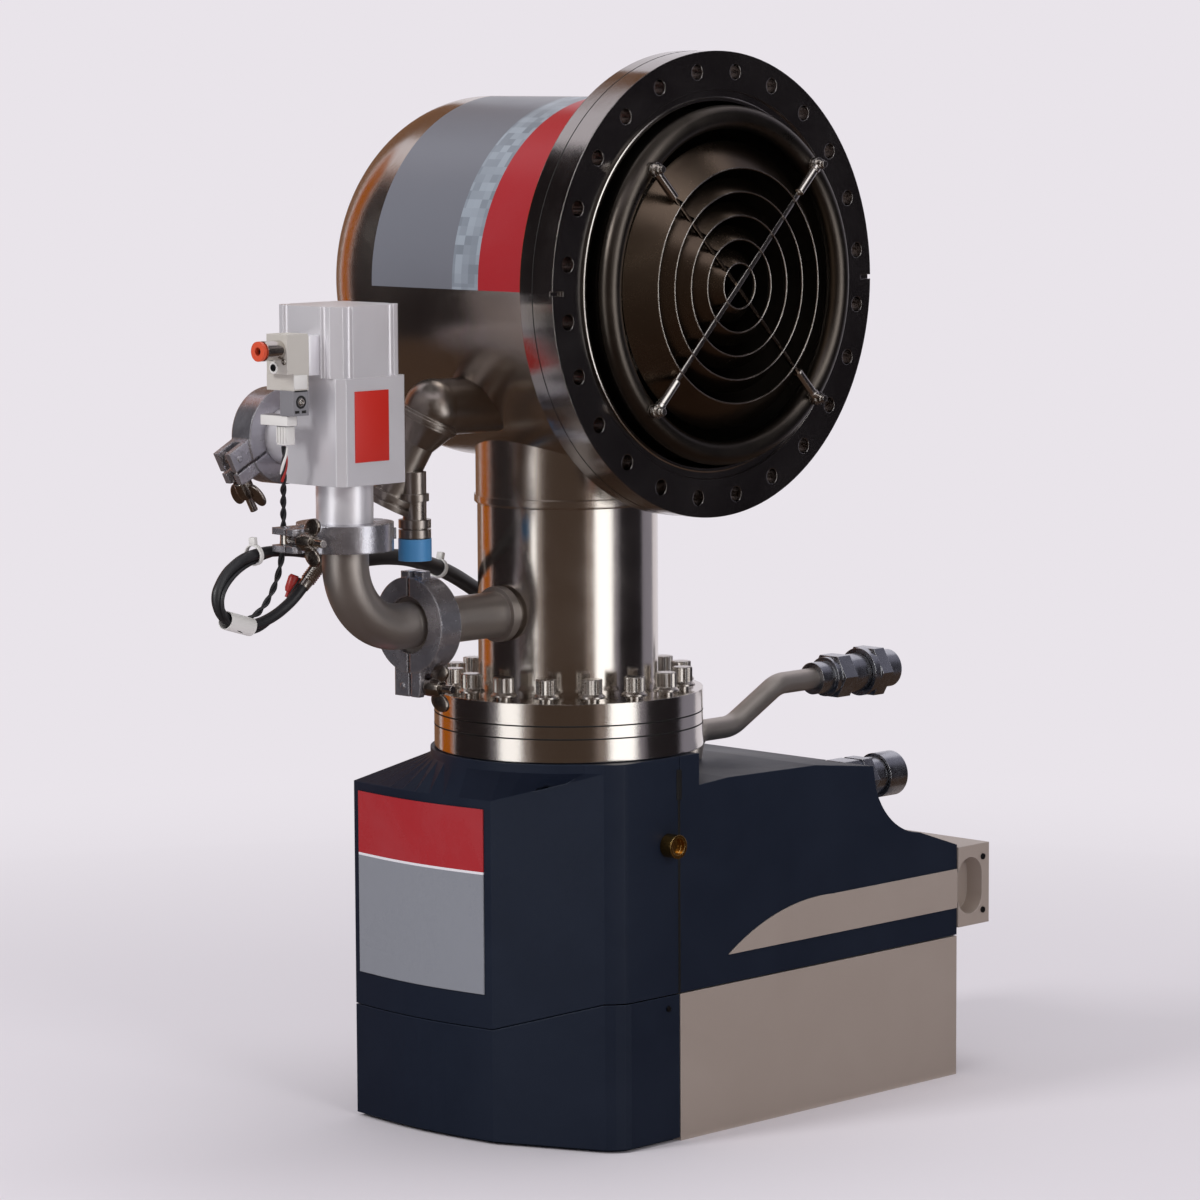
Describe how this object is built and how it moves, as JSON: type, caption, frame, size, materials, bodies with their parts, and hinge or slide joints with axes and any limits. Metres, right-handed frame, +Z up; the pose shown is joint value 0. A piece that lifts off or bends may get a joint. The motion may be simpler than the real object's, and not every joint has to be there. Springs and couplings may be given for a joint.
{
  "type": "cryogenic vacuum pump",
  "caption": "Two-stage cryogenic vacuum pump with a sideways flanged inlet, louvered shield, pneumatic roughing valve, relief branch, helium couplings and a moulded control base.",
  "frame": {"origin": "on the floor, under the axis of the vertical column", "axes": "+X out of the inlet flange, +Y towards the control box and the helium couplings, +Z up"},
  "size_m": [0.2655, 0.5263, 0.6075],
  "materials": {
    "black_cable": "cable sheath",
    "black_louver": "black coating",
    "black_metal": "black oxide",
    "blasted_steel": "bead-blasted stainless steel",
    "blue_plastic": "soft moulded plastic",
    "brass": "machined brass",
    "cast_aluminium": "cast aluminium",
    "cast_housing": "machined casting",
    "champagne_paint": "fine metallic paint",
    "circuit_board": "green circuit board",
    "copper": "copper sheet",
    "cream_plastic": "moulded plastic",
    "filled_plastic": "filled plastic",
    "ground_steel": "ground stainless steel",
    "label_print": "satin printed sheet",
    "navy_plastic": "fine textured plastic",
    "nickel_copper": "nickel-plated copper",
    "orange_plastic": "moulded plastic",
    "polished_steel": "polished stainless steel",
    "silver_anodised": "satin anodised aluminium",
    "spring_steel": "drawn wire",
    "zinc": "bright zinc plate"
  },
  "bodies": {
    "base": {"array_hardware": "polished_steel", "cable_bundle": "black_cable", "centering_rings": "polished_steel", "clamp_fixed_jaws": "cast_aluminium", "clamp_swing_jaws": "cast_aluminium", "cold_array": "nickel_copper", "coldhead_cylinder": "ground_steel", "coldhead_flange": "polished_steel", "column_flange": "polished_steel", "column_tube": "ground_steel", "connector_block": "champagne_paint", "control_board": "circuit_board", "control_cable": "black_cable", "copper_gasket": "copper", "cover_screws": "black_metal", "crank_bearings": "polished_steel", "drive_housing": "cast_housing", "drive_motor": "black_metal", "elbow": "blasted_steel", "flange_screws": "polished_steel", "front_label": "label_print", "helium_tube": "ground_steel", "inlet_flange": "polished_steel", "louver_cross_bars": "nickel_copper", "louver_rings": "black_louver", "lower_front_cover": "navy_plastic", "middle_flange": "polished_steel", "module_box": "champagne_paint", "push_fitting": "polished_steel", "radiation_shield": "nickel_copper", "rear_cover": "navy_plastic", "rear_trim": "champagne_paint", "relief_pipe": "blasted_steel", "return_coupling": "zinc", "side_tube": "blasted_steel", "solenoid_body": "cream_plastic", "solenoid_coil": "cream_plastic", "supply_coupling": "zinc", "upper_front_cover": "navy_plastic", "vacuum_vessel": "ground_steel", "valve_body": "silver_anodised", "valve_cylinder": "silver_anodised", "valve_spring": "spring_steel", "valve_wires": "black_cable"},
    "displacer_unit": {"displacer": "filled_plastic", "drive_yoke": "spring_steel"},
    "crank": {"crankshaft": "spring_steel"},
    "supply_cap": {"supply_dust_cap": "zinc"},
    "return_cap": {"return_dust_cap": "zinc"},
    "thumbscrew": {"cover_thumbscrew": "brass"},
    "piston": {"valve_piston": "silver_anodised"},
    "release_ring": {"release_ring": "orange_plastic"},
    "override_button": {"override_button": "black_metal"},
    "relief_cap": {"relief_cap": "blue_plastic"},
    "outlet_bolt": {"outlet_clamp_bolt": "polished_steel"},
    "outlet_nut": {"outlet_clamp_nut": "cast_aluminium"},
    "valve_bolt": {"valve_clamp_bolt": "polished_steel"},
    "valve_nut": {"valve_clamp_nut": "cast_aluminium"},
    "column_bolt": {"column_clamp_bolt": "polished_steel"},
    "column_nut": {"column_clamp_nut": "cast_aluminium"}
  },
  "joints": [
    {"name": "displacer_slide", "type": "slide", "parent": "base", "child": "displacer_unit", "axis": [0, 0, 1], "range_m": [0, 0.025]},
    {"name": "crank_spin", "type": "hinge", "parent": "base", "child": "crank", "pos_m": [0, 0.02, 0.137], "axis": [0, 1, 0], "continuous": true},
    {"name": "piston_slide", "type": "slide", "parent": "base", "child": "piston", "axis": [0, 0, 1], "range_m": [0, 0.009], "stiffness_N_per_m": 900, "springref_m": -0.004, "deforming": ["valve_spring"]},
    {"name": "release_ring_press", "type": "slide", "parent": "base", "child": "release_ring", "axis": [0, 1, 0], "range_m": [0, 0.0012], "stiffness_N_per_m": 300, "springref_m": -0.0006},
    {"name": "override_press", "type": "slide", "parent": "base", "child": "override_button", "axis": [0, 1, 0], "range_m": [0, 0.0012], "stiffness_N_per_m": 300, "springref_m": -0.0006},
    {"name": "thumbscrew_turn", "type": "hinge", "parent": "base", "child": "thumbscrew", "pos_m": [0.078, -0.001, 0.169], "axis": [1, 0, 0], "continuous": true},
    {"name": "supply_cap_turn", "type": "hinge", "parent": "base", "child": "supply_cap", "pos_m": [0.01, 0.26, 0.237], "axis": [0, 1, 0], "continuous": true},
    {"name": "return_cap_turn", "type": "hinge", "parent": "base", "child": "return_cap", "pos_m": [0.05, 0.21, 0.182], "axis": [0, 1, 0], "continuous": true},
    {"name": "relief_cap_pull", "type": "slide", "parent": "base", "child": "relief_cap", "axis": [0, 0, -1], "range_m": [0, 0.005]},
    {"name": "outlet_bolt_swing", "type": "hinge", "parent": "base", "child": "outlet_bolt", "pos_m": [-0.0535, -0.20284, 0.39034], "axis": [-1, 0, 0], "range_deg": [0, 85]},
    {"name": "outlet_nut_turn", "type": "hinge", "parent": "outlet_bolt", "child": "outlet_nut", "pos_m": [-0.0535, -0.19392, 0.37356], "axis": [0, 0.4695, -0.8829], "continuous": true},
    {"name": "valve_bolt_swing", "type": "hinge", "parent": "base", "child": "valve_bolt", "pos_m": [-0.00952, -0.20319, 0.3495], "axis": [0, 0, -1], "range_deg": [0, 85]},
    {"name": "valve_nut_turn", "type": "hinge", "parent": "valve_bolt", "child": "valve_nut", "pos_m": [0.00937, -0.20517, 0.3495], "axis": [0.9945, -0.1045, 0], "continuous": true},
    {"name": "column_bolt_swing", "type": "hinge", "parent": "base", "child": "column_bolt", "pos_m": [-0.006, -0.1165, 0.263], "axis": [0, 1, 0], "range_deg": [0, 85]},
    {"name": "column_nut_turn", "type": "hinge", "parent": "column_bolt", "child": "column_nut", "pos_m": [0.013, -0.1165, 0.263], "axis": [1, 0, 0], "continuous": true}
  ]
}
